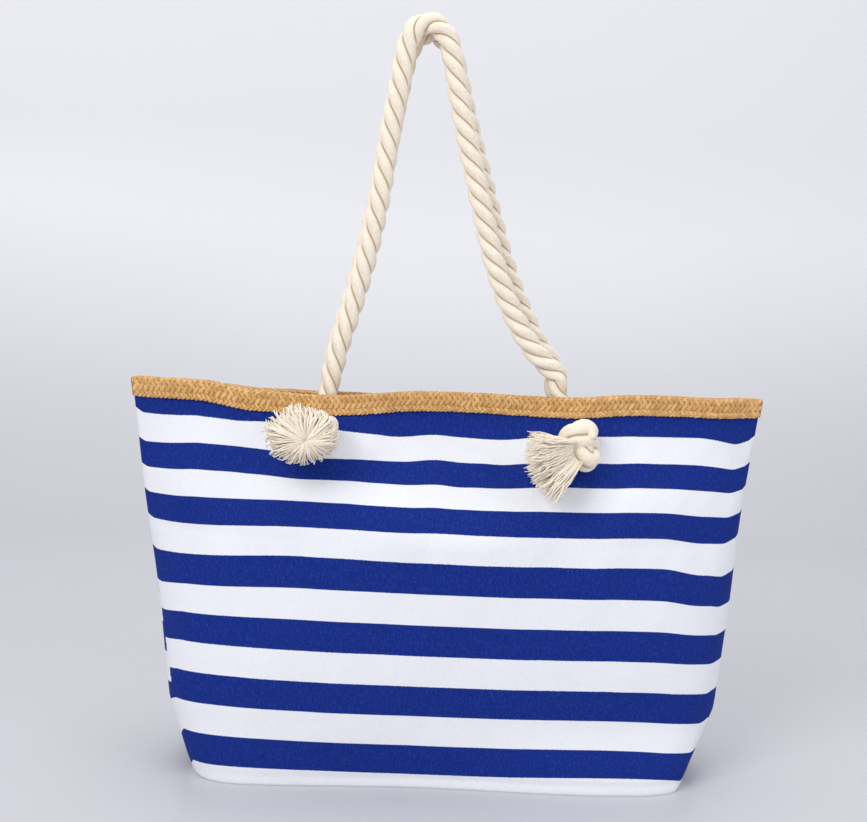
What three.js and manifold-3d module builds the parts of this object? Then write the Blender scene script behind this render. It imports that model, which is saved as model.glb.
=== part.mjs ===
// A striped canvas beach bag with plaited straw trim and two rope handles.
// Millimetres, +Z up, front of the bag towards -Y, origin under the middle of the base.
import * as THREE from 'three'
import { mergeVertices } from 'three/addons/utils/BufferGeometryUtils.js'
import Module from 'manifold-3d'

const wasm = await Module()
wasm.setup()

// Bag body
const RIM_Z = 318
const RIM_HALF = 257 // half width at the rim
const CORNER_HALF = 229 // half width where the bottom corner ends
const CORNER_Z = 58
const BASE_HALF = 196
const BELLY_Z = 120 // from here up the walls are at their full depth
const BODY_DEPTH = 78 // half depth of the filled-out body
const BASE_DEPTH = 68
const PINCH_DEPTH = 9 // half depth where the magnetic snap holds the mouth
const LOBE_DEPTH = 27 // half depth of the mouth at the handles
const LOBE_AT = 0.42 // where the lobes lie, as a share of the half width
const LEAN_FROM_Z = 196 // the walls lean inwards from here up
const SNAP_Z = 290
const WALL_COLS = 24
const WALL_ROWS = 14
const SEAM_GAP = 0.3
const GAP = 0.3 // between neighbouring pieces
const FLOOR_GAP = 0.9 // round the base, whose outline narrows with height

// Offsets from the outer face of the canvas, positive outwards
const CANVAS = 2
const LINING_OUT = -2.5
const LINING_IN = -3.7
const FULL_OFFSET_DEPTH = 9 // offsets shrink where the mouth is shallower than this

const SNAP_CLEAR = 0.9 // behind the snap's halves, where the lining is not quite flat

// Straw trim folded over the rim
const TRIM_HEIGHT = 16
const TRIM = 2.2
const TRIM_TOP = 2.4 // above the canvas edge
const TRIM_INNER = -6.1
const TRIM_CLEAR = 1 // off the canvas, whose facets it follows

// Rope, eyelets, knots
const TUBE_SIDES = 8
const ROPE = 9 // radius
const RUN = 8 // radius of the stretch squeezed inside the bag
const EYELET_X = 106
const EYELET_Z = 276
const EYELET_BORE = 9.3
const BARREL = 10
const FLANGE = 14
const FLANGE_THICK = 1.3
const KNOT = [17, 22, 17] // radii: across, up, out
const KNOT_OUT = 1.8 // clear of the flange

// Inner pocket and zip
const POCKET_GAP = 1
const ZIP_HALF = 85
const ZIP_Z = 185
const ZIP_Y = 67 // outer face of the tape, on the back wall
const TAPE = 0.8
const CHAIN = 2.4
const SLIDER_TRAVEL = 150
const PULL_OUT = 6 // from the slider's back to the puller's origin

const COLOURS = {
  canvas: 0x2b3f8c,
  straw: 0xd3a565,
  rope: 0xece2cd,
  lining: 0xe6e2d8,
  brass: 0xb8914c,
  nickel: 0xb9babd,
  tape: 0xd9d5cb,
  coil: 0xcfcabd,
}

const bag = new THREE.Group()

function cloth(colour) {
  return new THREE.MeshStandardMaterial({ color: colour, roughness: 0.9, metalness: 0 })
}

function metal(colour) {
  return new THREE.MeshStandardMaterial({ color: colour, roughness: 0.3, metalness: 1 })
}

function addPart(name, geometry, material) {
  const mesh = new THREE.Mesh(geometry, material)
  mesh.name = name
  bag.add(mesh)
  return mesh
}

// ---- closed solids from plain geometry ----

function toManifold(geometry) {
  const bare = geometry.clone()
  bare.deleteAttribute('normal')
  bare.deleteAttribute('uv')
  const merged = mergeVertices(bare, 1e-4)
  const vertProperties = new Float32Array(merged.attributes.position.array)
  const triVerts = new Uint32Array(merged.index.array)
  return new wasm.Manifold(new wasm.Mesh({ numProp: 3, vertProperties, triVerts }))
}

function fromManifold(solid) {
  const mesh = solid.getMesh()
  const geometry = new THREE.BufferGeometry()
  geometry.setAttribute('position', new THREE.BufferAttribute(mesh.vertProperties, 3))
  geometry.setIndex(new THREE.BufferAttribute(mesh.triVerts, 1))
  geometry.computeVertexNormals()
  return geometry
}

function subtractAll(geometry, cutters) {
  let solid = toManifold(geometry)
  for (const cutter of cutters) solid = solid.subtract(toManifold(cutter))
  return fromManifold(solid)
}

function signedVolume(points, faces) {
  const cross = new THREE.Vector3()
  let sum = 0
  for (const [a, b, c] of faces) sum += cross.crossVectors(points[a], points[b]).dot(points[c])
  return sum / 6
}

function meshOf(points, faces) {
  const outward = signedVolume(points, faces) > 0
  const geometry = new THREE.BufferGeometry().setFromPoints(points)
  geometry.setIndex(faces.flatMap(([a, b, c]) => (outward ? [a, b, c] : [a, c, b])))
  geometry.computeVertexNormals()
  return geometry
}

// Two grids of the same size, face to face, closed along their edges.
function slab(cols, rows, outer, inner) {
  const points = []
  for (const face of [outer, inner]) {
    for (let j = 0; j <= rows; j++) {
      for (let i = 0; i <= cols; i++) points.push(face(i / cols, j / rows))
    }
  }
  const inside = (cols + 1) * (rows + 1)
  const at = (i, j) => j * (cols + 1) + i
  const faces = []
  const quad = (a, b, c, d) => faces.push([a, b, c], [a, c, d])
  for (let j = 0; j < rows; j++) {
    for (let i = 0; i < cols; i++) {
      quad(at(i, j), at(i + 1, j), at(i + 1, j + 1), at(i, j + 1))
      quad(inside + at(i, j), inside + at(i, j + 1), inside + at(i + 1, j + 1), inside + at(i + 1, j))
    }
  }
  for (let i = 0; i < cols; i++) {
    quad(at(i + 1, 0), at(i, 0), inside + at(i, 0), inside + at(i + 1, 0))
    quad(at(i, rows), at(i + 1, rows), inside + at(i + 1, rows), inside + at(i, rows))
  }
  for (let j = 0; j < rows; j++) {
    quad(at(0, j), at(0, j + 1), inside + at(0, j + 1), inside + at(0, j))
    quad(at(cols, j + 1), at(cols, j), inside + at(cols, j), inside + at(cols, j + 1))
  }
  return meshOf(points, faces)
}

// A closed outline carried through the stations of a sweep, capped at both ends.
function sweep(stations, outline, place) {
  const points = []
  for (let i = 0; i <= stations; i++) {
    for (const corner of outline) points.push(place(i / stations, corner))
  }
  const n = outline.length
  const faces = []
  for (let i = 0; i < stations; i++) {
    for (let k = 0; k < n; k++) {
      const a = i * n + k
      const b = i * n + ((k + 1) % n)
      faces.push([a, b, b + n], [a, b + n, a + n])
    }
  }
  const cap = THREE.ShapeUtils.triangulateShape(outline, [])
  const clockwise = THREE.ShapeUtils.isClockWise(outline)
  const last = stations * n
  for (const [a, b, c] of cap) {
    faces.push(clockwise ? [a, b, c] : [a, c, b])
    faces.push(clockwise ? [last + a, last + c, last + b] : [last + a, last + b, last + c])
  }
  return meshOf(points, faces)
}

function tube(curve, radius, steps) {
  const section = new THREE.Shape(circlePoints(radius, TUBE_SIDES))
  return new THREE.ExtrudeGeometry(section, { steps, extrudePath: curve, bevelEnabled: false })
}

function circlePoints(radius, count) {
  return Array.from({ length: count }, (_, i) => {
    const angle = (2 * Math.PI * i) / count
    return new THREE.Vector2(radius * Math.cos(angle), radius * Math.sin(angle))
  })
}

// A ring or disc turned about +Y from radius and height limits.
function turned(innerRadius, outerRadius, low, high, segments = 16) {
  const profile = [
    new THREE.Vector2(innerRadius, low),
    new THREE.Vector2(outerRadius, low),
    new THREE.Vector2(outerRadius, high),
    new THREE.Vector2(innerRadius, high),
    new THREE.Vector2(innerRadius, low),
  ]
  return new THREE.LatheGeometry(profile, segments)
}

function disc(radius, low, high, segments = 16) {
  return new THREE.CylinderGeometry(radius, radius, high - low, segments).translate(0, (low + high) / 2, 0)
}

// ---- the shape of the filled-out bag ----

function smooth(x) {
  const k = Math.min(1, Math.max(0, x))
  return k * k * (3 - 2 * k)
}

function halfWidth(z) {
  if (z > CORNER_Z) {
    return CORNER_HALF + ((RIM_HALF - CORNER_HALF) * (z - CORNER_Z)) / (RIM_Z - CORNER_Z)
  }
  return BASE_HALF + (CORNER_HALF - BASE_HALF) * (Math.max(0, z) / CORNER_Z) ** 0.9
}

// How far towards the lobe a place on the rim is: 0 at the pinch, 1 at the lobe and beyond.
function lobeShare(t) {
  return Math.abs(t) < LOBE_AT ? Math.sin((Math.PI / 2) * (Math.abs(t) / LOBE_AT)) ** 2 : 1
}

function mouthDepth(t) {
  const inner = PINCH_DEPTH + (LOBE_DEPTH - PINCH_DEPTH) * lobeShare(t)
  const beyond = Math.max(0, (Math.abs(t) - LOBE_AT) / (1 - LOBE_AT))
  return inner * Math.cos((Math.PI / 2) * beyond)
}

// Half depth of a full section: boxy at the base, rounder higher up.
function bodyDepth(t, z) {
  const up = Math.min(1, z / 200)
  const foot = Math.max(0, 1 - z / CORNER_Z)
  const across = THREE.MathUtils.lerp(6, 2.4, up) + 12 * foot ** 2
  const roundness = THREE.MathUtils.lerp(3, 1.6, up)
  const bulge = Math.sin((Math.PI / 2) * Math.min(1, z / BELLY_Z))
  const depth = THREE.MathUtils.lerp(BASE_DEPTH, BODY_DEPTH, bulge)
  return depth * Math.max(0, 1 - Math.abs(t) ** across) ** (1 / roundness)
}

function wallDepth(t, z) {
  const leanTo = THREE.MathUtils.lerp(SNAP_Z + 5, RIM_Z, lobeShare(t))
  const lean = smooth((z - LEAN_FROM_Z) / (leanTo - LEAN_FROM_Z))
  return THREE.MathUtils.lerp(bodyDepth(t, z), mouthDepth(t), lean)
}

// side is -1 for the front wall and 1 for the back; share runs 0 to 1 from left to right.
function wallPoint(side, share, z, offset) {
  const t = Math.sin((Math.PI / 2) * (2 * share - 1))
  return wallAt(side, t, z, offset)
}

function wallAt(side, t, z, offset) {
  const depth = wallDepth(t, z)
  const moved = depth + offset * Math.min(1, depth / FULL_OFFSET_DEPTH)
  return new THREE.Vector3((halfWidth(z) + offset) * t, side * (SEAM_GAP / 2 + moved), z)
}

function wallNormal(side, x, z) {
  const step = 4
  const at = (dx, dz) => wallAt(side, (x + dx) / halfWidth(z + dz), z + dz, 0)
  const along = at(step, 0).sub(at(-step, 0))
  const up = at(0, step).sub(at(0, -step))
  return along.cross(up).normalize().multiplyScalar(-side)
}

function seatAt(side, x, z) {
  return { point: wallAt(side, x / halfWidth(z), z, 0), normal: wallNormal(side, x, z) }
}

// Turns geometry made about +Y so that +Y points out of the wall.
function onWall(geometry, seat) {
  const turn = new THREE.Quaternion().setFromUnitVectors(new THREE.Vector3(0, 1, 0), seat.normal)
  const place = new THREE.Matrix4().compose(seat.point, turn, new THREE.Vector3(1, 1, 1))
  return geometry.clone().applyMatrix4(place)
}

// ---- canvas, lining and trim ----

// Rows are close together at the bottom corner; the top one is the trim's height.
function rowHeight(row) {
  if (row === WALL_ROWS) return RIM_Z
  return (RIM_Z - TRIM_HEIGHT) * (row / (WALL_ROWS - 1)) ** 1.4
}

// Every layer of a wall shares the same columns and rows, so that its facets stay parallel.
function wallShell(side, lowRow, outer, inner) {
  const rows = WALL_ROWS - lowRow
  const height = (v) => rowHeight(Math.round(lowRow + v * rows))
  return slab(
    WALL_COLS,
    rows,
    (u, v) => wallPoint(side, u, height(v), outer),
    (u, v) => wallPoint(side, u, height(v), inner),
  )
}

function floorPlate(offset, low, high) {
  const outline = []
  for (const side of [-1, 1]) {
    for (let i = 0; i < 20; i++) {
      const share = side < 0 ? i / 20 : 1 - i / 20
      const p = wallPoint(side, share, low, offset)
      outline.push(new THREE.Vector2(p.x, p.y - (side * SEAM_GAP) / 2))
    }
  }
  const plate = new THREE.ExtrudeGeometry(new THREE.Shape(outline), {
    depth: high - low,
    bevelEnabled: false,
  })
  return plate.translate(0, 0, low)
}

function eyeletCutters(seat) {
  const clear = FLANGE + GAP
  return [
    onWall(disc(BARREL + GAP, -30, 20), seat),
    onWall(disc(clear, 0, 20), seat),
    onWall(disc(clear, -20, LINING_IN), seat),
  ]
}

function snapCutters(side) {
  const seat = snapSeat(side)
  return [
    onWall(disc(8, LINING_OUT - 0.35, LINING_OUT + 0.85), seat),
    onWall(disc(2.5 + GAP, -20, LINING_OUT), seat),
  ]
}

function snapSeat(side) {
  const point = wallAt(side, 0, SNAP_Z, 0)
  return { point, normal: new THREE.Vector3(0, side, 0) }
}

function addWalls() {
  for (const [name, side] of [['front', -1], ['back', 1]]) {
    const cutters = snapCutters(side)
    for (const x of [-EYELET_X, EYELET_X]) cutters.push(...eyeletCutters(seatAt(side, x, EYELET_Z)))
    const panel = wallShell(side, 0, 0, -CANVAS)
    addPart(`${name}_panel`, subtractAll(panel, cutters), cloth(COLOURS.canvas))
    const lining = wallShell(side, 1, LINING_OUT, LINING_IN)
    addPart(`${name}_lining`, subtractAll(lining, cutters), cloth(COLOURS.lining))
    addPart(`${name}_trim`, trimBand(side), cloth(COLOURS.straw))
  }
}

function trimBand(side) {
  const top = RIM_Z + TRIM_TOP
  const low = RIM_Z - TRIM_HEIGHT
  const outline = [
    [TRIM_CLEAR, low],
    [TRIM_CLEAR + TRIM, low],
    [TRIM_CLEAR + TRIM, top],
    [TRIM_INNER, top],
    [TRIM_INNER, low],
    [LINING_IN - GAP, low],
    [LINING_IN - GAP, RIM_Z + GAP],
    [TRIM_CLEAR, RIM_Z + GAP],
  ].map(([offset, z]) => new THREE.Vector2(offset, z))
  const place = (share, corner) => {
    const point = wallPoint(side, share, Math.min(corner.y, RIM_Z), corner.x)
    point.z = corner.y
    return point
  }
  const band = sweep(WALL_COLS, outline, place)
  return subtractAll(band, [disc(12, -15, 15).translate(0, 0, SNAP_Z)])
}

function addFloor() {
  addPart('base_panel', floorPlate(-CANVAS - FLOOR_GAP, 0, 2), cloth(COLOURS.canvas))
  addPart('base_lining', floorPlate(LINING_IN - FLOOR_GAP, 2.4, 3.6), cloth(COLOURS.lining))
}

// ---- inner pockets and zip ----

function patch(side, half, lowZ, highZ) {
  const outer = LINING_IN - POCKET_GAP
  const at = (u, v, offset) => {
    const z = lowZ + (highZ - lowZ) * v
    return wallAt(side, ((2 * u - 1) * half) / halfWidth(z), z, offset)
  }
  return slab(12, 6, (u, v) => at(u, v, outer), (u, v) => at(u, v, outer - 1))
}

function box(x, y, z, lowY, lowZ) {
  return new THREE.BoxGeometry(x, y, z).translate(0, lowY + y / 2, lowZ + z / 2)
}

function addPockets() {
  addPart('slip_pocket', patch(-1, 80, 70, 165), cloth(COLOURS.lining))
  addPart('zip_pocket', patch(1, ZIP_HALF, 60, ZIP_Z - 14), cloth(COLOURS.lining))
  const tapeFace = ZIP_Y - TAPE
  addPart('zip_tape', box(2 * ZIP_HALF + 8, TAPE, 26, tapeFace, ZIP_Z - 13), cloth(COLOURS.tape))
  const chainFace = tapeFace - GAP - CHAIN
  addPart('zip_chain', box(2 * ZIP_HALF, CHAIN, 6, chainFace, ZIP_Z - 3), cloth(COLOURS.coil))
  const slider = addPart('zip_slider', zipSlider(), metal(COLOURS.nickel))
  slider.position.set(-SLIDER_TRAVEL / 2, chainFace - GAP, ZIP_Z)
  const puller = addPart('zip_puller', zipPuller(), metal(COLOURS.nickel))
  puller.position.copy(slider.position).add(new THREE.Vector3(0, -PULL_OUT, 0))
}

// A flat body with an arched bridge along X; the puller's ring hangs on the bridge.
function zipSlider() {
  const body = toManifold(box(11, 3, 9, -3, -4.5))
  const legs = [-3.7, 3.7].map((x) => toManifold(box(1.4, 4.2, 2.4, -7, -1.2).translate(x, 0, 0)))
  const bar = toManifold(box(8.8, 1.2, 2.4, -8, -1.2))
  return fromManifold(body.add(legs[0]).add(legs[1]).add(bar))
}

// Ring round the bridge bar, with a flat tab hanging under it.
function zipPuller() {
  const bar = new THREE.Matrix4().makeRotationZ(Math.PI / 2)
  const ring = toManifold(turned(3.4, 4.6, -1.5, 1.5, 16).applyMatrix4(bar).translate(0, -2, 0))
  const tab = toManifold(box(5, 1.2, 22, -2.6, -26))
  return fromManifold(ring.add(tab))
}

// ---- magnetic snap ----

function addSnap() {
  const depthIn = PINCH_DEPTH + SEAM_GAP / 2
  for (const [name, side] of [['snap_socket', -1], ['snap_stud', 1]]) {
    const seat = snapSeat(side)
    const body = toManifold(disc(9, -depthIn + 0.2, LINING_IN - SNAP_CLEAR))
    const stem = toManifold(disc(2.5, LINING_IN - SNAP_CLEAR - 1, LINING_OUT - 0.1))
    addPart(name, onWall(fromManifold(body.add(stem)), seat), metal(COLOURS.nickel))
    const plate = disc(7.6, LINING_OUT + 0.05, LINING_OUT + 0.65)
    addPart(`${name}_plate`, onWall(plate, seat), metal(COLOURS.nickel))
  }
}

// ---- rope handles ----

// The stretches of rope from their eyelets up to the rim, on the front wall.
const RUN_ROUTES = {
  left: [
    [-106, -41.5, 276.6],
    [-106, -36.5, 273.9],
    [-106, -34.3, 273],
    [-106, -32, 272.75],
    [-106, -29.5, 273.1],
    [-106, -27.2, 274],
    [-106, -25.3, 275.5],
    [-105.8, -23.7, 277.5],
    [-104, -18.3, 288.7],
    [-100, -13.9, 298.5],
    [-96.6, -11.5, 308],
    [-95, -10.6, 318],
    [-95, -10.6, 323.4],
  ],
  right: [
    [106, -41.5, 276.6],
    [106, -36.5, 273.9],
    [106, -34.3, 273],
    [106, -32, 272.75],
    [106, -29.5, 273.1],
    [106, -27.2, 274],
    [106, -25.3, 275.5],
    [105.5, -23.7, 277.5],
    [102.5, -18.3, 288.7],
    [96, -13.9, 298.5],
    [90, -11.5, 308],
    [86, -10.6, 318],
    [86, -10.6, 323.4],
  ],
}

// The loops above the rim, leaning a little to the left as they stand.
const FRONT_ROUTE = [
  [-95, -10.6, 324.2],
  [-95, -10.6, 330],
  [-92, -11.2, 350],
  [-84, -12, 382],
  [-73, -12, 426],
  [-65.5, -12, 467],
  [-58.5, -11.5, 520],
  [-52, -11, 561],
  [-48, -10.5, 586],
  [-42, -10, 602],
  [-30, -10, 608],
  [-18.5, -10, 601.5],
  [-12, -10.5, 588],
  [-4, -11, 550],
  [5, -11.5, 512],
  [16, -12, 470],
  [28, -12.5, 425],
  [42, -12.5, 389],
  [56, -12.3, 363],
  [70, -12, 345],
  [81, -11, 335],
  [86, -10.6, 329],
  [86, -10.6, 324.2],
]

const BACK_ROUTE = [
  [-95, 10.6, 324.2],
  [-95, 10.6, 330],
  [-93, 11.2, 350],
  [-85, 12, 382],
  [-74, 12, 426],
  [-66, 12, 467],
  [-58, 11.5, 518],
  [-51, 11, 558],
  [-46, 10.5, 582],
  [-39, 10, 597],
  [-27, 10, 603],
  [-15, 10, 596.5],
  [-8, 10.5, 582],
  [2, 11, 545],
  [13, 11.5, 507],
  [26, 12, 465],
  [40, 12.5, 421],
  [54, 12.5, 387],
  [66, 12.3, 363],
  [76, 12, 347],
  [83.5, 11, 336.5],
  [86, 10.6, 329],
  [86, 10.6, 324.2],
]

// Where each tassel lies from its knot, and its radii.
const TASSELS = {
  front_left: { from: [-9, -31, -5], radii: [27, 11, 24] },
  front_right: { from: [-31, -15, -23], radii: [20, 12, 18] },
  back_left: { from: [9, 31, -5], radii: [27, 11, 24] },
  back_right: { from: [-12, 22, -33], radii: [17, 12, 20] },
}

function routeCurve(route, mirrorY = 1) {
  const points = route.map(([x, y, z]) => new THREE.Vector3(x, mirrorY * y, z))
  return new THREE.CatmullRomCurve3(points, false, 'centripetal')
}

function ellipsoid(radii) {
  return new THREE.SphereGeometry(1, 14, 8).scale(...radii)
}

function eyeletSolid() {
  const barrel = toManifold(turned(EYELET_BORE, BARREL, LINING_IN - 1, 0.5))
  const flange = toManifold(turned(EYELET_BORE, FLANGE, 0.15, FLANGE_THICK))
  return fromManifold(barrel.add(flange))
}

function addCorner(name, side, hand) {
  const seat = seatAt(side, hand * EYELET_X, EYELET_Z)
  addPart(`${name}_eyelet`, onWall(eyeletSolid(), seat), metal(COLOURS.brass))
  const washer = turned(BARREL + GAP, FLANGE, LINING_IN - FLANGE_THICK, LINING_IN - 0.15)
  addPart(`${name}_washer`, onWall(washer, seat), metal(COLOURS.brass))
  const route = hand < 0 ? RUN_ROUTES.left : RUN_ROUTES.right
  const run = tube(routeCurve(route, -side), RUN, 14)
  addPart(`${name}_rope_run`, run, cloth(COLOURS.rope))
  const out = FLANGE_THICK + KNOT_OUT + KNOT[2]
  const knotAt = seat.point.clone().addScaledVector(seat.normal, out)
  const knot = addPart(`${name}_knot`, ellipsoid([KNOT[0], KNOT[2], KNOT[1]]), cloth(COLOURS.rope))
  knot.position.copy(knotAt)
  const { from, radii } = TASSELS[name]
  const tassel = addPart(`${name}_tassel`, ellipsoid(radii), cloth(COLOURS.rope))
  tassel.position.copy(knotAt).add(new THREE.Vector3(...from))
}

function addHandles() {
  for (const [name, side] of [['front', -1], ['back', 1]]) {
    addCorner(`${name}_left`, side, -1)
    addCorner(`${name}_right`, side, 1)
  }
  addPart('front_handle_rope', tube(routeCurve(FRONT_ROUTE), ROPE, 64), cloth(COLOURS.rope))
  addPart('back_handle_rope', tube(routeCurve(BACK_ROUTE), ROPE, 64), cloth(COLOURS.rope))
}

addWalls()
addFloor()
addPockets()
addSnap()
addHandles()

export default bag
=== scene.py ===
import math
from random import Random

import bmesh
import bpy
import numpy as np
from mathutils import Matrix, Vector


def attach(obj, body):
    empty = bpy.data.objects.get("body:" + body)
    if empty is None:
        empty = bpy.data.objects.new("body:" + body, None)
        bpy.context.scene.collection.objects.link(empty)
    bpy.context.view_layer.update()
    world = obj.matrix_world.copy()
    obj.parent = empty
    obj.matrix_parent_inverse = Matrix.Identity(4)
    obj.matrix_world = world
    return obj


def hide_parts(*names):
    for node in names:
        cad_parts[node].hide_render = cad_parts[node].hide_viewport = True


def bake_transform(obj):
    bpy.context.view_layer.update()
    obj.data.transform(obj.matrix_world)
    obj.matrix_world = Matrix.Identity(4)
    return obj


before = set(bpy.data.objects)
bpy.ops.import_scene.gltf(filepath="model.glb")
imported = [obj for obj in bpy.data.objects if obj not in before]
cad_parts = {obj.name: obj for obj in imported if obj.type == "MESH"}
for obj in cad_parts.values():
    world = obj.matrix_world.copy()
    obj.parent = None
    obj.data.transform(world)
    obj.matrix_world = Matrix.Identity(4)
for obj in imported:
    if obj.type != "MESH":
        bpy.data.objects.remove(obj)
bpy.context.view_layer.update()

MM = 0.001
FRONT, BACK = -1, 1  # the way each wall faces along Y
WALLS = {"front": FRONT, "back": BACK}
scene = bpy.context.scene

# ---- camera ----

CAMERA_AT = (-0.110, -1.303, 0.462)  # in metres
CAMERA_DOWN = math.radians(7.2)
CAMERA_YAW = math.radians(-4.2)
CAMERA_ROLL = math.radians(2.25)
CAMERA_LENS = 66.4


def add_camera():
    data = bpy.data.cameras.new("camera")
    data.lens = CAMERA_LENS
    tilt = Matrix.Rotation(math.pi / 2 - CAMERA_DOWN, 4, "X")
    turn = Matrix.Rotation(CAMERA_YAW, 4, "Z") @ tilt @ Matrix.Rotation(CAMERA_ROLL, 4, "Z")
    camera = bpy.data.objects.new("camera", data)
    camera.matrix_world = Matrix.Translation(CAMERA_AT) @ turn
    scene.collection.objects.link(camera)
    scene.camera = camera


add_camera()
scene.view_settings.view_transform = "Standard"

# ---- meshes ----


def add_mesh(name, points, faces, material):
    mesh = bpy.data.meshes.new(name)
    mesh.from_pydata((np.asarray(points, float) * MM).tolist(), [], faces)
    mesh.materials.append(material)
    mesh.shade_smooth()
    obj = bpy.data.objects.new(name, mesh)
    scene.collection.objects.link(obj)
    return obj


def face_outwards(obj):
    work = bmesh.new()
    work.from_mesh(obj.data)
    bmesh.ops.recalc_face_normals(work, faces=work.faces)
    work.to_mesh(obj.data)
    work.free()


def add_point_values(obj, name, values):
    attribute = obj.data.attributes.new(name, "FLOAT_VECTOR", "POINT")
    attribute.data.foreach_set("vector", np.asarray(values, np.float32).ravel())


def place(obj, slot, *nodes):
    """Attaches a piece of the bag's body to the bag and hides the plain nodes it stands for. The slot is
    not used.
    """
    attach(obj, "bag")
    if nodes:
        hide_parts(*nodes)


class Batch:
    """Many small closed shapes gathered into one mesh."""

    def __init__(self):
        self.points = []
        self.faces = []
        self.values = []
        self.count = 0

    def add(self, points, faces, value=(0, 0, 0)):
        points = np.asarray(points, float).reshape(-1, 3)
        self.points.append(points)
        self.faces.extend((np.asarray(face) + self.count).tolist() for face in faces)
        value = np.asarray(value, float)
        self.values.append(np.broadcast_to(value, points.shape) if value.ndim == 1 else value)
        self.count += len(points)

    def build(self, name, material):
        obj = add_mesh(name, np.concatenate(self.points), self.faces, material)
        add_point_values(obj, "tint", np.concatenate(self.values))
        face_outwards(obj)
        return obj


def tube_faces(stations, sides):
    """Quads of a tube of rings, with an n-gon at each end."""
    ring = np.arange(sides)
    after = (ring + 1) % sides
    step = (np.arange(stations - 1) * sides)[:, None]
    quads = np.stack([ring + step, after + step, after + sides + step, ring + sides + step], -1)
    caps = [ring[::-1].tolist(), (ring + (stations - 1) * sides).tolist()]
    return quads.reshape(-1, 4).tolist() + caps


def transport_frames(path):
    """Tangents and two normals along a path, turned no more than the path itself turns."""
    tangents = np.gradient(path, axis=0)
    tangents /= np.linalg.norm(tangents, axis=1)[:, None]
    start = np.cross(tangents[0], [0.0, 0.0, 1.0])
    if np.linalg.norm(start) < 0.1:
        start = np.cross(tangents[0], [0.0, 1.0, 0.0])
    normals = [start / np.linalg.norm(start)]
    for tangent in tangents[1:]:
        carried = normals[-1] - tangent * np.dot(normals[-1], tangent)
        normals.append(carried / np.linalg.norm(carried))
    normals = np.array(normals)
    return tangents, normals, np.cross(tangents, normals)


SPAN_STEPS = 12


def catmull_rom(points, step):
    """Points about a step apart along the centripetal Catmull-Rom curve through the given ones."""
    p = np.asarray(points, float)
    p = np.vstack([2 * p[0] - p[1], p, 2 * p[-1] - p[-2]])
    out = []
    for a, b, c, d in zip(p, p[1:], p[2:], p[3:]):
        gaps = [math.sqrt(np.linalg.norm(end - start)) for start, end in ((a, b), (b, c), (c, d))]
        leave = ((b - a) / gaps[0] - (c - a) / (gaps[0] + gaps[1]) + (c - b) / gaps[1]) * gaps[1]
        arrive = ((c - b) / gaps[1] - (d - b) / (gaps[1] + gaps[2]) + (d - c) / gaps[2]) * gaps[1]
        for u in np.linspace(0, 1, SPAN_STEPS, endpoint=False):
            h = 2 * u**3 - 3 * u**2 + 1, u**3 - 2 * u**2 + u, -2 * u**3 + 3 * u**2, u**3 - u**2
            out.append(h[0] * b + h[1] * leave + h[2] * c + h[3] * arrive)
    return even(np.array(out + [p[-2]]), step)


def lengths_along(path):
    steps = np.linalg.norm(np.diff(path, axis=0), axis=1)
    return np.concatenate([[0], np.cumsum(steps)])


def even(path, step):
    lengths = lengths_along(path)
    count = max(3, int(round(lengths[-1] / step)) + 1)
    wanted = np.linspace(0, lengths[-1], count)
    return np.stack([np.interp(wanted, lengths, path[:, k]) for k in range(3)], -1)


def smooth(x):
    k = np.clip(x, 0, 1)
    return k * k * (3 - 2 * k)


def ramp(value, start, end):
    """Nought at start and one at end, rising smoothly between them, whichever of the two is larger."""
    return smooth((value - start) / (end - start))


def blend_between(a, b, share):
    return a + (b - a) * share


# ---- materials ----


class Shader:
    """A material's node tree, with short ways to add nodes to it."""

    def __init__(self, name, roughness, metallic=0.0, sheen=0.0):
        self.material = bpy.data.materials.new(name)
        self.material.use_nodes = True
        self.tree = self.material.node_tree
        self.shader = self.tree.nodes["Principled BSDF"]
        self.shader.inputs["Roughness"].default_value = roughness
        self.shader.inputs["Metallic"].default_value = metallic
        self.shader.inputs["Sheen Weight"].default_value = sheen

    def node(self, kind, sockets=None, **settings):
        made = self.tree.nodes.new("ShaderNode" + kind)
        for key, value in settings.items():
            setattr(made, key, value)
        for key, value in (sockets or {}).items():
            self.set(made.inputs[key], value)
        return made

    def set(self, socket, value):
        if isinstance(value, bpy.types.NodeSocket):
            self.tree.links.new(value, socket)
        else:
            socket.default_value = value

    def out(self, name, value):
        self.set(self.shader.inputs[name], value)

    def maths(self, operation, a, b=0.0):
        return self.node("Math", {0: a, 1: b}, operation=operation).outputs[0]

    def stored(self, name):
        return self.node("Attribute", attribute_name=name).outputs["Vector"]

    def place(self):
        return self.node("TexCoord").outputs["Object"]

    def stretched(self, vector, scale):
        return self.node("VectorMath", {0: vector, 1: scale}, operation="MULTIPLY").outputs[0]

    def noise(self, vector, scale, detail=2.0):
        return self.node("TexNoise", {"Vector": vector, "Scale": scale, "Detail": detail}).outputs["Fac"]

    def split(self, vector):
        return self.node("SeparateXYZ", {0: vector}).outputs

    def remap(self, value, low, high, to_low=0.0, to_high=1.0):
        sockets = {"Value": value, "From Min": low, "From Max": high}
        sockets |= {"To Min": to_low, "To Max": to_high}
        return self.node("MapRange", sockets, interpolation_type="SMOOTHSTEP").outputs["Result"]

    def mix(self, share, a, b):
        made = self.node("Mix", data_type="RGBA")
        self.set(made.inputs["Factor"], share)
        self.set(made.inputs["A"], a)
        self.set(made.inputs["B"], b)
        return made.outputs["Result"]

    def bump(self, height, distance, strength=1.0):
        sockets = {"Height": height, "Distance": distance, "Strength": strength}
        self.out("Normal", self.node("Bump", sockets).outputs["Normal"])


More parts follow.
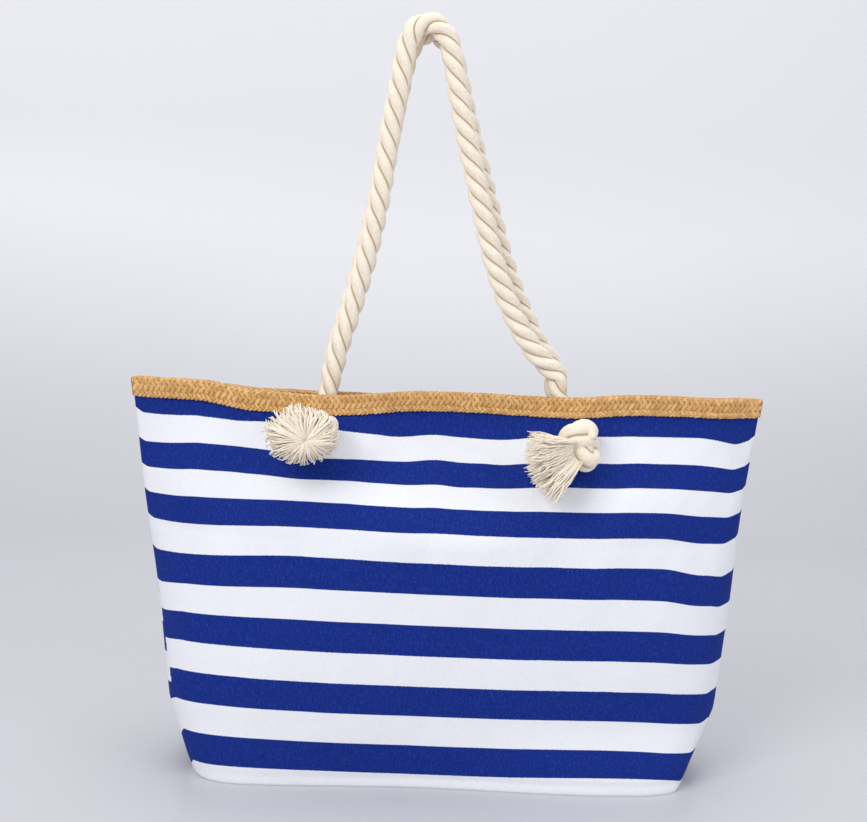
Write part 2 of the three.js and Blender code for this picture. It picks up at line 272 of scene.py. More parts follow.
BLUE = (0.004, 0.018, 0.190, 1)
BLUE_SLUB = (0.014, 0.048, 0.310, 1)
WHITE = (0.84, 0.845, 0.89, 1)
WHITE_RIB = (0.72, 0.73, 0.79, 1)
STRIPE = 25.0
BOTTOM_BAND = 14.5  # the part of a white stripe left above the floor
WARP, WEFT = 1.3, 1.1  # from thread to thread


def canvas_material():
    """Woven stripes, laid out along the cloth by its stored places across and up."""
    s = Shader("striped_canvas", 0.88)
    s.out("Specular IOR Level", 0.15)
    cloth = s.stored("cloth")
    across, up, _ = s.split(cloth)
    frayed = s.noise(s.stretched(cloth, (1.1, 0.25, 1)), 1.0)
    edge = s.maths("ADD", up, s.maths("MULTIPLY", frayed, 0.9))
    mean_fray = 0.45
    turn = s.maths("MULTIPLY", s.maths("SUBTRACT", edge, BOTTOM_BAND + mean_fray), math.pi / STRIPE)
    blue = s.remap(s.maths("SINE", turn), -0.035, 0.035)
    slub = s.remap(s.noise(s.stretched(cloth, (1.5, 0.11, 1)), 1.0, 3.0), 0.42, 0.74)
    fleck = s.remap(s.noise(s.stretched(cloth, (1.6, 0.8, 1)), 1.0, 2.0), 0.4, 0.8)
    mottle = s.remap(s.noise(s.stretched(cloth, (0.5, 0.34, 1)), 1.0, 3.0), 0.44, 0.68)
    thread = s.maths("ADD", s.maths("MULTIPLY", slub, 0.45), s.maths("MULTIPLY", fleck, 0.25))
    thread = s.maths("ADD", thread, s.maths("MULTIPLY", mottle, 0.4))
    white = s.mix(s.maths("MULTIPLY", thread, 0.4), WHITE, WHITE_RIB)
    s.out("Base Color", s.mix(blue, white, s.mix(thread, BLUE, BLUE_SLUB)))
    warp = s.maths("SINE", s.maths("MULTIPLY", across, math.tau / WARP))
    weft = s.maths("SINE", s.maths("MULTIPLY", up, math.tau / WEFT))
    weave = s.maths("ADD", s.maths("MULTIPLY", s.maths("MULTIPLY", warp, weft), 0.3), thread)
    s.bump(weave, 0.00035, 0.6)
    return s.material


def plain_cloth_material(name, colour, shade, thread, sheen):
    s = Shader(name, 0.75, sheen=sheen)
    x, y, z = s.split(s.place())
    wave = math.tau / thread
    along = s.maths("SINE", s.maths("MULTIPLY", x, wave))
    upward = s.maths("SINE", s.maths("MULTIPLY", s.maths("ADD", z, y), wave))
    slub = s.noise(s.stretched(s.place(), (900, 900, 120)), 1.0)
    s.out("Base Color", s.mix(s.remap(slub, 0.35, 0.75), colour, shade))
    s.bump(s.maths("ADD", s.maths("MULTIPLY", along, upward), slub), 0.0002, 0.5)
    return s.material


def rope_material(name, colour, shade):
    s = Shader(name, 0.88, sheen=0.25)
    tint = s.split(s.stored("tint"))
    fibre = s.noise(s.stretched(s.place(), (900, 900, 500)), 1.0, 4.0)
    blotch = s.noise(s.place(), 120.0)
    fuzz = s.maths("MULTIPLY", s.remap(fibre, 0.4, 0.75), 0.3)
    worn = s.maths("ADD", fuzz, s.maths("MULTIPLY", blotch, 0.16))
    # The stored tint is painted shade in the rope's grooves and near a tassel yarn's root, on top of each
    # yarn's own tone; the fibre and blotch noise is the cotton's own uneven tone.
    groove = s.maths("MAXIMUM", s.maths("MULTIPLY", tint[0], 0.9), s.maths("MULTIPLY", worn, 0.8))
    s.out("Base Color", s.mix(groove, colour, shade))
    s.bump(fibre, 0.0005, 0.55)
    return s.material


def straw_material():
    s = Shader("plaited_straw", 0.58, sheen=0.05)
    tint = s.split(s.stored("tint"))
    streak = s.noise(s.stretched(s.place(), (500, 500, 160)), 1.0, 3.0)
    # Each leaf's stored tint, its own tone with painted shade towards its edges and in the gaps, picks its
    # colour between dark and light straw; the streaks are the straw's own.
    light = s.mix(tint[0], (0.52, 0.26, 0.075, 1), (0.80, 0.50, 0.19, 1))
    s.out("Base Color", s.mix(s.remap(streak, 0.42, 0.8, 0.0, 0.5), light, (0.30, 0.13, 0.035, 1)))
    s.bump(streak, 0.0004, 0.7)
    return s.material


def metal_material(name, colour, roughness):
    s = Shader(name, roughness, metallic=1.0)
    scratch = s.noise(s.stretched(s.place(), (2500, 300, 2500)), 1.0, 3.0)
    worn = tuple(0.7 * c for c in colour[:3]) + (1,)
    s.out("Base Color", s.mix(s.remap(scratch, 0.5, 0.8), colour, worn))
    s.bump(scratch, 0.0001, 0.25)
    return s.material


def plastic_material(name, colour):
    s = Shader(name, 0.4)
    grain = s.noise(s.place(), 1500.0)
    s.out("Base Color", s.mix(grain, colour, tuple(0.85 * c for c in colour[:3]) + (1,)))
    s.bump(grain, 0.0001, 0.2)
    return s.material


CANVAS = canvas_material()
LINING = plain_cloth_material("lining_cloth", (0.76, 0.74, 0.69, 1), (0.62, 0.60, 0.55, 1), 0.0011, 0.3)
TAPE = plain_cloth_material("zip_tape", (0.68, 0.66, 0.60, 1), (0.55, 0.53, 0.47, 1), 0.0016, 0.2)
ROPE = rope_material("cotton_rope", (0.95, 0.86, 0.725, 1), (0.40, 0.27, 0.14, 1))
YARN = rope_material("cotton_yarn", (0.97, 0.89, 0.76, 1), (0.70, 0.58, 0.42, 1))
THREAD = plain_cloth_material("sewing_thread", (0.86, 0.86, 0.84, 1), (0.70, 0.70, 0.68, 1), 0.0006, 0.3)
STRAW = straw_material()
BRASS = metal_material("eyelet_brass", (0.66, 0.48, 0.22, 1), 0.33)
NICKEL = metal_material("nickel", (0.62, 0.62, 0.63, 1), 0.3)
COIL = plastic_material("zip_teeth", (0.66, 0.63, 0.56, 1))

# ---- rope handles ----

RIM_Z = 318.0
EYELET_X = 106.0
EYELET_Z = 276.0
ROPE_RADIUS = 9.0
RUN_RADIUS = 8.0  # squeezed through the eyelet and against the wall
SWELL = 12.0  # how far above the rim the rope has its full radius
ROPE_STEP = 1.6  # from ring to ring of its mesh
ROPE_LAY = 50.0  # length of one full turn of the strands
STRANDS = 3
STRAND_STEPS = 26
YARNS_ROUND = 40

# A strand of the rope, as shares of the rope's radius.
STRAND_OUT = 0.42
STRAND_RADIUS = 0.60
YARN_RIDGE = 0.022
RIDGE_SINK = 0.02  # how far the yarns' ridges start below the strand's outline
GROOVE_FROM = 0.70  # where the groove starts, as a share of a strand's half width
YARN_SHADE = 0.12  # painted shade between the yarns, where one is the painted shade of the groove

# The stretches of rope on the front wall: in through each eyelet and up to the rim.
THROUGH_EYELET = [
    (-41.5, 276.6), (-36.5, 273.9), (-34.3, 273), (-32, 272.75), (-29.5, 273.1),
    (-27.2, 274), (-25.3, 275.5),
]
LEFT_RUN = [(-EYELET_X, y, z) for y, z in THROUGH_EYELET] + [
    (-105.8, -23.7, 277.5),
    (-105, -18.3, 288.7),
    (-103, -13.9, 298.5),
    (-101.4, -11.5, 308),
    (-100, -10.6, 318),
]
RIGHT_RUN = [(EYELET_X, y, z) for y, z in THROUGH_EYELET] + [
    (105.5, -23.7, 277.5),
    (102.5, -18.3, 288.7),
    (96, -13.9, 298.5),
    (90, -11.5, 308),
    (86, -10.6, 318),
]

# The loops above the rim, leaning a little to the left as they stand.
FRONT_LOOP = [
    (-98, -10.6, 330),
    (-93.5, -11.2, 350),
    (-84, -12, 382),
    (-73, -12, 426),
    (-65.5, -12, 467),
    (-58.5, -11.5, 520),
    (-52, -11, 561),
    (-48, -10.5, 586),
    (-42, -10, 602),
    (-30, -10, 608),
    (-18.5, -10, 601.5),
    (-12, -10.5, 588),
    (-4, -11, 550),
    (5, -11.5, 512),
    (16, -12, 470),
    (28, -12.5, 425),
    (42, -12.5, 389),
    (56, -12.3, 363),
    (70, -12, 345),
    (81, -11, 335),
    (86, -10.6, 329),
]
BACK_LOOP = [
    (-98, 10.6, 330),
    (-94, 11.2, 350),
    (-85, 12, 382),
    (-74, 12, 426),
    (-66, 12, 467),
    (-58, 11.5, 518),
    (-51, 11, 558),
    (-46, 10.5, 582),
    (-39, 10, 597),
    (-27, 10, 603),
    (-15, 10, 596.5),
    (-8, 10.5, 582),
    (2, 11, 545),
    (13, 11.5, 507),
    (26, 12, 465),
    (40, 12.5, 421),
    (54, 12.5, 387),
    (66, 12.3, 363),
    (76, 12, 347),
    (83.5, 11, 336.5),
    (86, 10.6, 329),
]


def strand_outline():
    """One strand's share of the outline of a laid rope whose radius is one: angles and distances."""
    half = math.pi / STRANDS
    angle = np.linspace(-half, half, STRAND_STEPS + 1)[:-1]
    reach = STRAND_OUT * np.cos(angle) + np.sqrt(STRAND_RADIUS**2 - (STRAND_OUT * np.sin(angle)) ** 2)
    return angle, reach / reach.max()


def laid_rope(path, radii, lay, start_turn):
    """Points, faces and tint of a three-strand rope along a path, with its yarns as fine ridges. The tint
    is painted shade in its grooves and between its yarns.
    """
    _, side, up = transport_frames(path)
    angle, reach = strand_outline()
    round_all = np.concatenate([angle + math.tau * k / STRANDS for k in range(STRANDS)])
    groove = np.tile(ramp(np.abs(angle) * STRANDS / math.pi, GROOVE_FROM, 1), STRANDS)
    turned = round_all[None, :] - (math.tau * lengths_along(path) / lay + start_turn)[:, None]
    yarn = np.abs(np.cos(turned * YARNS_ROUND / 2)) * (1 - groove)
    outline = np.tile(reach, STRANDS)[None, :] - RIDGE_SINK + YARN_RIDGE * yarn
    ring = np.cos(turned)[..., None] * side[:, None, :] + np.sin(turned)[..., None] * up[:, None, :]
    points = path[:, None, :] + ring * (np.asarray(radii)[:, None] * outline)[..., None]
    # The tint is painted shade: darkest in the grooves between the strands, a little darker between the
    # yarns.
    tint = np.zeros(points.shape)
    tint[..., 0] = np.clip(groove**2 + YARN_SHADE * (1 - yarn * (1 - groove)), 0, 1)
    return points.reshape(-1, 3), tube_faces(len(path), len(round_all)), tint.reshape(-1, 3)


def rope_mesh(name, path, radii, lay=ROPE_LAY, start_turn=0.0):
    points, faces, tint = laid_rope(path, radii, lay, start_turn)
    obj = add_mesh(name, points, faces, ROPE)
    add_point_values(obj, "tint", tint)
    face_outwards(obj)
    return obj


def mirrored(route):
    return [(x, -y, z) for x, y, z in route]


def add_handle(name, side, loop):
    """One rope from its left eyelet over its loop to its right eyelet. It bends at the rim."""
    turn = mirrored if side == BACK else list
    path = catmull_rom(turn(LEFT_RUN) + loop + turn(RIGHT_RUN)[::-1], ROPE_STEP)
    radii = blend_between(RUN_RADIUS, ROPE_RADIUS, ramp(path[:, 2], RIM_Z, RIM_Z + SWELL))
    rope = rope_mesh(f"{name}_handle_rope_laid", path, radii)
    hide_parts(f"{name}_handle_rope", f"{name}_left_rope_run", f"{name}_right_rope_run")
    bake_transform(rope)
    return rope, path


LOOPS = {"front": FRONT_LOOP, "back": BACK_LOOP}
handles = {name: add_handle(name, side, LOOPS[name]) for name, side in WALLS.items()}

# ---- the shape of the filled-out bag ----

RIM_HALF = 260.0  # half width at the rim
CORNER_HALF = 228.0  # half width where the bottom corner ends
CORNER_Z = 58.0
CORNER_POWER = 0.9  # below one, so that the corner's slope bows outwards
BASE_HALF = 203.0
BELLY_Z = 120.0
BODY_DEPTH = 78.0  # half depth
BASE_DEPTH = 68.0
PINCH_DEPTH = 9.0  # at the magnetic snap
LOBE_DEPTH = 27.0  # at the handles
LOBE_AT = 0.42
LEAN_FROM_Z = 196.0
SNAP_Z = 290.0
FULL_OFFSET_DEPTH = 9.0
SEAM_HALF_GAP = 0.15

# Seen from above, the body is a superellipse that is squarest at the floor.
ROUND_Z = 200.0  # from this height up its powers stay the same
ACROSS_POWERS = (6, 2.4)  # at the floor and from ROUND_Z up
DEPTH_POWERS = (3, 1.6)
FOOT_POWER = 6  # added to the power across, at the floor only

SWAY = 3.2  # how far the middle of the body sags to the right
FOOT_PUSH = 15.0  # how far the front's bottom edge stands forward at the right
FOOT_PUSH_TOP = 60.0


def half_width(z):
    low = BASE_HALF + (CORNER_HALF - BASE_HALF) * (np.clip(z, 0, CORNER_Z) / CORNER_Z) ** CORNER_POWER
    high = CORNER_HALF + (RIM_HALF - CORNER_HALF) * (z - CORNER_Z) / (RIM_Z - CORNER_Z)
    return np.where(z > CORNER_Z, high, low)


def lobe_share(t):
    return np.where(np.abs(t) < LOBE_AT, np.sin(math.pi / 2 * np.abs(t) / LOBE_AT) ** 2, 1.0)


def mouth_depth(t):
    inner = PINCH_DEPTH + (LOBE_DEPTH - PINCH_DEPTH) * lobe_share(t)
    beyond = np.maximum(0, (np.abs(t) - LOBE_AT) / (1 - LOBE_AT))
    return inner * np.cos(math.pi / 2 * beyond)


def body_depth(t, z):
    up = np.minimum(1, z / ROUND_Z)
    foot = np.maximum(0, 1 - z / CORNER_Z)
    across = blend_between(*ACROSS_POWERS, up) + FOOT_POWER * foot**2
    outline = np.maximum(0, 1 - np.abs(t) ** across) ** (1 / blend_between(*DEPTH_POWERS, up))
    bulge = np.sin(math.pi / 2 * np.minimum(1, z / BELLY_Z))
    return blend_between(BASE_DEPTH, BODY_DEPTH, bulge) * outline


def wall_depth(t, z):
    """Half the bag's depth at a height and at a share t of the half width, from -1 to 1."""
    lean_to = blend_between(SNAP_Z + 5, RIM_Z, lobe_share(t))
    return blend_between(body_depth(t, z), mouth_depth(t), ramp(z, LEAN_FROM_Z, lean_to))


# How far the soft rim hangs below the model's level one, from left to right.
RIM_DROPS = {
    FRONT: [
        (-257, 3), (-205, 3), (-158, 9), (-110, 11), (-20, 7.2), (40, 7.5), (90, 7.2),
        (150, 3.6), (257, 6),
    ],
    BACK: [
        (-257, 3), (-200, 8), (-150, 12.5), (-105, 14), (-50, 13), (20, 12), (90, 14),
        (150, 13), (257, 6),
    ],
}
DROP_FROM_Z = 236.0


def rim_drop(side, x):
    places, drops = np.array(RIM_DROPS[side], float).T
    x = np.clip(x, places[0], places[-1])
    k = np.clip(np.searchsorted(places, x, side="right") - 1, 0, len(places) - 2)
    return blend_between(drops[k], drops[k + 1], ramp(x, places[k], places[k + 1]))


def bell(value, at, wide):
    return np.exp(-(((value - at) / wide) ** 2))


def near(x, z, at_x, at_z, wide, tall):
    return bell(x, at_x, wide) * bell(z, at_z, tall)


# Soft ripples: length in x, length in z, phase, height. Long ones first.
RIPPLES = [
    (130, 400, 0.4, 1.1),
    (74, 260, 2.1, 0.8),
    (-96, 120, 1.2, 0.7),
    (58, -150, 4.0, 0.45),
    (41, 95, 0.9, 0.3),
    (-33, 70, 3.3, 0.22),
    (25, -48, 5.1, 0.14),
]

# Folds drawn towards the knots and along the body: place, size and height.
FOLDS = {
    FRONT: [
        (-60, 250, 52, 9, -2.2),
        (-128, 252, 30, 8, -1.8),
        (-40, 272, 40, 8, 1.4),
        (30, 246, 60, 8, -1.6),
        (150, 250, 50, 9, -1.4),
        (0, 225, 120, 10, 0.9),
        (-180, 262, 24, 14, 1.2),
        (60, 268, 26, 9, 1.3),
        (-190, 120, 40, 60, -1.2),
        (190, 120, 40, 60, -1.4),
        (60, 8, 230, 2.4, -1.1),
    ],
    BACK: [
        (70, 250, 52, 9, -2.2),
        (-100, 250, 34, 8, -1.6),
        (0, 262, 60, 9, 1.2),
        (-20, 180, 130, 40, 1.2),
        (180, 110, 44, 60, -1.5),
        (-185, 130, 40, 50, -1.2),
    ],
}

PUCKER_FROM_Z = RIM_Z - 19
HELD_RADIUS = 24.0


def trim_pucker(x, z):
    """Small gathers that the trim's sewing draws into the canvas below it."""
    wave = np.sin(math.tau * x / 11 + 2 * np.sin(x / 31))
    return 0.35 * wave * np.exp(-np.maximum(0, PUCKER_FROM_Z - z) / 7)


def seam_pucker(edge, z):
    """Small gathers along the side seam."""
    return 0.5 * np.sin(math.tau * z / 13 + 2 * np.sin(z / 23)) * np.exp(-edge / 9)


def free_share(x, z):
    """One where the cloth is free to ripple, nought where an eyelet or the snap holds it flat."""
    held = 0
    for eyelet_x in (-EYELET_X, EYELET_X):
        away = (x - eyelet_x) ** 2 + (z - EYELET_Z) ** 2
        held = held + np.exp(-((away / HELD_RADIUS**2) ** 2))
    return (1 - held) * (1 - near(x, z, 0, SNAP_Z, 24, 20))


def ripple(side, x, z):
    """How far the cloth stands out from the model's smooth wall."""
    wave = sum(h * np.sin(math.tau * (x / a + z / b) + phase + 1.3 * side) for a, b, phase, h in RIPPLES)
    height = wave * blend_between(0.35, 1, ramp(z, 120, 230)) * ramp(z, 0, 30)
    for at_x, at_z, wide, tall, h in FOLDS[side]:
        height = height + h * near(x, z, at_x, at_z, wide, tall)
    edge = half_width(z) - np.abs(x)
    return (height + trim_pucker(x, z) + seam_pucker(edge, z)) * free_share(x, z) * ramp(edge, 0, 6)


def sway(z):
    return SWAY * ramp(z, 0, 60) * ramp(z, 240, 130)


def foot_push(side, t, z):
    """How far the bottom of the front wall is pushed forward towards the right."""
    if side == BACK:
        return 0.0
    return FOOT_PUSH * ramp(t, -0.25, 0.65) * ramp(z, FOOT_PUSH_TOP, 0) * ramp(t, 1, 0.92)


def cloth_height(side, t, z):
    x = half_width(z) * t
    return z - rim_drop(side, x) * ramp(z, DROP_FROM_Z, RIM_Z)


def cloth_point(side, t, z, offset):
    """A point of the wall, offset outwards, where z is the height it would have under a level rim."""
    low = cloth_height(side, t, z)
    depth = wall_depth(t, low)
    thin = np.minimum(1, depth / FULL_OFFSET_DEPTH)
    half = half_width(low)
    moved = depth + (offset + ripple(side, half * t, low)) * thin + foot_push(side, t, low)
    return np.stack([(half + offset) * t + sway(low), side * (SEAM_HALF_GAP + moved), low], -1)


def columns(count):
    """Places across the wall from -1 to 1, drawn together towards the side edges."""
    return np.sin(math.pi / 2 * (2 * np.linspace(0, 1, count + 1) - 1))


# ---- canvas and lining ----

WALL_COLS = 250
WALL_ROWS = 150
CANVAS_INNER = -1.8
LINING_OUTER = -2.5
LINING_INNER = -3.5
HOLE_RADIUS = 11.2
HOLE_MARGIN = 2.4  # how far round a hole its edge is drawn to a circle


def every_face(grid):
    return np.ones((grid.shape[0] - 1, grid.shape[1] - 1), bool)


def shell(name, outer, inner, material, keep=None):
    """Two grids of points, face to face, closed along their edges and round any holes.

    Also returns which of the grids' points the mesh has, and in which order.
    """
    if keep is None:
        keep = every_face(outer)
    rows, cols = outer.shape[0] - 1, outer.shape[1] - 1
    count = outer.shape[0] * outer.shape[1]
    at = np.arange(count).reshape(rows + 1, cols + 1)
    quads = np.stack([at[:-1, :-1], at[:-1, 1:], at[1:, 1:], at[1:, :-1]], -1)[keep]
    edges = np.stack([quads, np.roll(quads, -1, axis=1)], -1).reshape(-1, 2)
    present = set(map(tuple, edges.tolist()))
    open_edges = [edge for edge in present if (edge[1], edge[0]) not in present]
    faces = quads.tolist() + (quads[:, ::-1] + count).tolist()
    faces += [[b, a, a + count, b + count] for a, b in sorted(open_edges)]
    used = np.unique(np.concatenate([quads.ravel(), quads.ravel() + count]))
    renumber = np.full(2 * count, -1)
    renumber[used] = np.arange(len(used))
    points = np.concatenate([outer.reshape(-1, 3), inner.reshape(-1, 3)])[used]
    obj = add_mesh(name, points, [[int(renumber[k]) for k in face] for face in faces], material)
    face_outwards(obj)
    return obj, used


def wall_grids(side, offsets, rows=WALL_ROWS, cols=WALL_COLS, low=0.0):
    t, z = np.meshgrid(columns(cols), np.linspace(low, RIM_Z, rows + 1))
    return [cloth_point(side, t, z, offset) for offset in offsets]


def open_holes(outer, inner):
    """Leaves out the faces at the eyelets and rounds the edges of the holes."""
    keep = every_face(outer)
    middle = (outer[:-1, :-1] + outer[1:, 1:]) / 2
    for x in (-EYELET_X, EYELET_X):
        seat = np.array([x, EYELET_Z])
        keep &= np.linalg.norm(middle[..., ::2] - seat, axis=-1) > HOLE_RADIUS
        for grid in (outer, inner):
            away = outer[..., ::2] - seat
            far = np.linalg.norm(away, axis=-1)
            ring = (far > 0.5) & (far < HOLE_RADIUS + HOLE_MARGIN)
            drawn = (HOLE_RADIUS - far) * ramp(far, HOLE_RADIUS + HOLE_MARGIN, HOLE_RADIUS)
            pull = np.minimum(np.where(ring, drawn, 0), 0)
            grid[..., ::2] += away / np.maximum(far, 0.5)[..., None] * pull[..., None]
    return keep


# How the stripes run on the walls.
PATTERN_SHIFT = {FRONT: 3.2, BACK: 15.5}  # the back's stripes meet the front's out of step
EXTRA_TILT = 0.024  # the stripes run down a little towards the right
GATHER_FROM_Z = 188.0
GATHER_TO_Z = 288.0
GATHER = 17.0  # extra cloth taken up towards the rim
GATHER_MIDDLE = 8.0  # how much less of it there is at the middle
GATHER_ENDS = 6.0  # how much more there is at the side edges
LEFT_SLACK = 8.0
RIGHT_SLACK = 4.0
FOOT_SLACK = 2.8  # extra cloth over the pushed-out foot
SEAM_PULL = 1.2  # how steeply the stripes turn down at the seams of the bottom corners
SEAM_PULL_WIDTH = 8.0
GUSSET_WIDTH = 6.3  # of the strip of the back panel that shows at the front's left edge
GUSSET_TAPER = 0.065
GUSSET_FROM_Z = 62.0

# Cloth taken up by the front's folds: place, size and how much.
TAKEN_UP = [
    (-122, 258, 26, 11, 7),
    (0, 236, 40, 12, 2),
    (-83, 272, 30, 24, 5),
    (-185, 285, 40, 12, 4),
]

# The front curves back to its side edges, and its stripes stay nearly level to an eye at this place.
EYE_HEIGHT = 462.0
EYE_DISTANCE = 1250.0
CURVE_LIMIT = 24.0
CURVE_SHARE = 0.5
EDGE_FROM = 36.0
EDGE_SHARE = 0.6


def straightening(y, z):
    """Keeps the stripes level to the eye where the front curves back to its side edges."""
    back = wall_depth(0.0, z) + y
    curved = CURVE_SHARE * CURVE_LIMIT * (1 - np.exp(-np.maximum(back, 0) / CURVE_LIMIT))
    curved += EDGE_SHARE * np.maximum(0, back - EDGE_FROM)
    bend = np.where(back > 0, curved, back)
    return bend * (EYE_HEIGHT - z) / EYE_DISTANCE * ramp(z, 200, 150)


def front_slack(x, y, z):
    """How much more cloth lies below a point of the front than its smooth wall shows."""
    folds = sum(taken * near(x, z, *fold) for *fold, taken in TAKEN_UP)
    left = LEFT_SLACK * ramp(x, -110, -220) * bell(z, 195, 62)
    right = RIGHT_SLACK * ramp(x, 170, 210) * bell(z, 180, 60)
    return folds + left + right + straightening(y, z) - FOOT_SLACK * ramp(x, 30, 160)


def stripe_heights(side, outer):
    """How far up the cloth each point of a wall lies, measured along the cloth from its bottom edge."""
    steps = np.linalg.norm(np.diff(outer[..., 1:], axis=0), axis=-1)
    x, y, z = np.moveaxis(outer, -1, 0)
    up = np.concatenate([np.zeros((1, outer.shape[1])), np.cumsum(steps, axis=0)])
    gathered = GATHER - GATHER_MIDDLE * bell(x, 0, 42) + GATHER_ENDS * ramp(np.abs(x), 200, 250)
    up += PATTERN_SHIFT[side] + EXTRA_TILT * x + gathered * ramp(z, GATHER_FROM_Z, GATHER_TO_Z)
    edge = half_width(z) - np.abs(x - sway(z))
    up += SEAM_PULL * np.maximum(0, SEAM_PULL_WIDTH - edge) * ramp(z, 75, 35)
    if side == BACK:
        return up
    up += front_slack(x, y, z)
    gusset = edge < GUSSET_WIDTH - GUSSET_TAPER * (z - GUSSET_FROM_Z)
    return np.where(gusset & (x < 0) & (z > GUSSET_FROM_Z), up + STRIPE / 2, up)


def across_cloth(outer):
    """How far across the cloth each point of a wall lies, measured from its middle."""
    along = lengths_along(outer[outer.shape[0] // 2])
    return np.broadcast_to(along - along[-1] / 2, outer.shape[:2])


def store_cloth(obj, across, up, used):
    """Stores each point's place on the flat cloth, the same on the shell's two faces."""
    cloth = np.stack([across, up, np.zeros(up.shape)], -1).reshape(-1, 3)
    add_point_values(obj, "cloth", np.concatenate([cloth, cloth])[used])


def add_panel(name, side):
    outer, inner = wall_grids(side, (0.0, CANVAS_INNER))
    up = stripe_heights(side, outer)
    keep = open_holes(outer, inner)
    obj, used = shell(f"{name}_canvas", outer, inner, CANVAS, keep)
    store_cloth(obj, across_cloth(outer), up, used)
    place(obj, "striped_canvas", f"{name}_panel")


def add_lining(name, side):
    outer, inner = wall_grids(side, (LINING_OUTER, LINING_INNER), rows=90, cols=140, low=4.0)
    keep = open_holes(outer, inner)
    obj, _ = shell(f"{name}_lining_sewn", outer, inner, LINING, keep)
    place(obj, "lining_cloth", f"{name}_lining")


BASE_COLS = 90
BASE_ROWS = 30


def base_grids(inset, low, high):
    """The base, between the feet of the two walls, as an under and an upper face."""
    t = columns(BASE_COLS)
    depth = wall_depth(t, np.full(t.shape, low)) - inset
    x, across = np.meshgrid((half_width(low) - inset) * t, np.linspace(-1, 1, BASE_ROWS + 1))
    y = across * np.maximum(depth, 0.05) - foot_push(FRONT, t, low) * np.maximum(0, -across)
    soft = 0.12 * np.sin(x / 17) * np.sin(y / 13)
    return np.stack([x, y, np.full(x.shape, low)], -1), np.stack([x, y, high + soft], -1)


def add_base():
    under, over = base_grids(2.3, 0.0, 1.8)
    obj, used = shell("base_canvas", under, over, CANVAS)
    below = -(under[..., 1] + BASE_DEPTH) + PATTERN_SHIFT[FRONT]
    store_cloth(obj, under[..., 0], below, used)
    place(obj, "striped_canvas", "base_panel")


def add_base_lining():
    obj, _ = shell("base_lining_sewn", *base_grids(4.2, 2.4, 3.4), LINING)
    place(obj, "lining_cloth", "base_lining")


for wall_name, wall_side in WALLS.items():
    add_panel(wall_name, wall_side)
    add_lining(wall_name, wall_side)
add_base()
add_base_lining()

# ---- straw trim ----

TRIM_HEIGHT = 14.0
TRIM_HALF = 259.5
TRIM_END = 3.0  # from the trim's end to the middle of its last leaf
TRIM_FACE = 2.1  # offset of the braid's middle from the canvas
TRIM_BACK = -5.0
FOLD_RADIUS = (TRIM_FACE - TRIM_BACK) / 2
FOLD_LENGTH = math.pi * FOLD_RADIUS
FOLD_RISE = 0.62  # the fold's height as a share of its radius, since the braid is pressed flat
INNER_HEIGHT = 11.0
BRAID_RISE = 1.0  # above the canvas edge, at the start of the fold
GROUND_OUTER = -0.15  # the two faces of the dark sheet of painted shade under the braid, below the middle of its leaves
GROUND_INNER = -0.75


def trim_point(side, x, w, lift):
    """A place on the folded braid: w runs from its outer edge over the rim and down inside."""
    angle = np.clip((w - TRIM_HEIGHT) / FOLD_RADIUS, 0, math.pi)
    inside = np.maximum(0, w - TRIM_HEIGHT - FOLD_LENGTH)
    reach = FOLD_RADIUS + lift
    offset = (TRIM_FACE + TRIM_BACK) / 2 + reach * np.cos(angle)
    rise = np.minimum(w, TRIM_HEIGHT) - TRIM_HEIGHT - inside + BRAID_RISE
    point = cloth_point(side, x / RIM_HALF, np.minimum(RIM_Z, RIM_Z + rise), offset)
    point[..., 2] += np.maximum(0, rise) + FOLD_RISE * reach * np.sin(angle)
    return point


LEAF_GRID = (7, 5)
LEAF_THICK = 0.45
LEAF_TUCK = 0.45  # how far a leaf's one end dips under its neighbour and the other rises


def leaf_shape(long, wide):
    """Grid of a leaf about its centre, and how far each point stands up."""
    u, v = np.meshgrid(*(np.linspace(-1, 1, count) for count in LEAF_GRID), indexing="ij")
    width = wide * (1 - 0.55 * np.abs(u) ** 2.6)
    crown = (1 - 0.75 * v**2) * (1 - 0.35 * np.abs(u) ** 4)
    return u * long, v * width, crown


def leaf_faces(rows, cols):
    at = np.arange(rows * cols).reshape(rows, cols)
    top = np.stack([at[:-1, :-1], at[:-1, 1:], at[1:, 1:], at[1:, :-1]], -1).reshape(-1, 4)
    under = top[:, ::-1] + rows * cols
    rim = np.concatenate([at[0, :-1], at[:-1, -1], at[-1, :0:-1], at[:0:-1, 0]])
    after = np.roll(rim, -1)
    side = np.stack([after, rim, rim + rows * cols, after + rows * cols], -1)
    return top.tolist() + under.tolist() + side.tolist()


LEAF_FACES = leaf_faces(*LEAF_GRID)

# Rows of the plait: place on the braid, half length, half width, slant in degrees, spacing, height.
PLAIT_ROWS = [
    (1.3, 2.4, 1.25, 28, 3.6, 0.5),
    (3.7, 2.7, 1.35, -42, 3.6, 0.5),
    (7.4, 3.7, 1.75, 54, 4.5, 0.6),
    (11.0, 3.8, 1.75, 122, 4.5, 0.6),
    (14.7, 3.8, 1.75, 56, 4.5, 0.65),
    (18.4, 3.8, 1.75, 120, 4.5, 0.65),
    (22.1, 3.8, 1.75, 56, 4.5, 0.65),
    (25.8, 3.8, 1.75, 120, 4.5, 0.65),
    (29.4, 3.6, 1.7, 56, 4.5, 0.6),
    (33.4, 2.6, 1.35, -35, 3.6, 0.5),
]


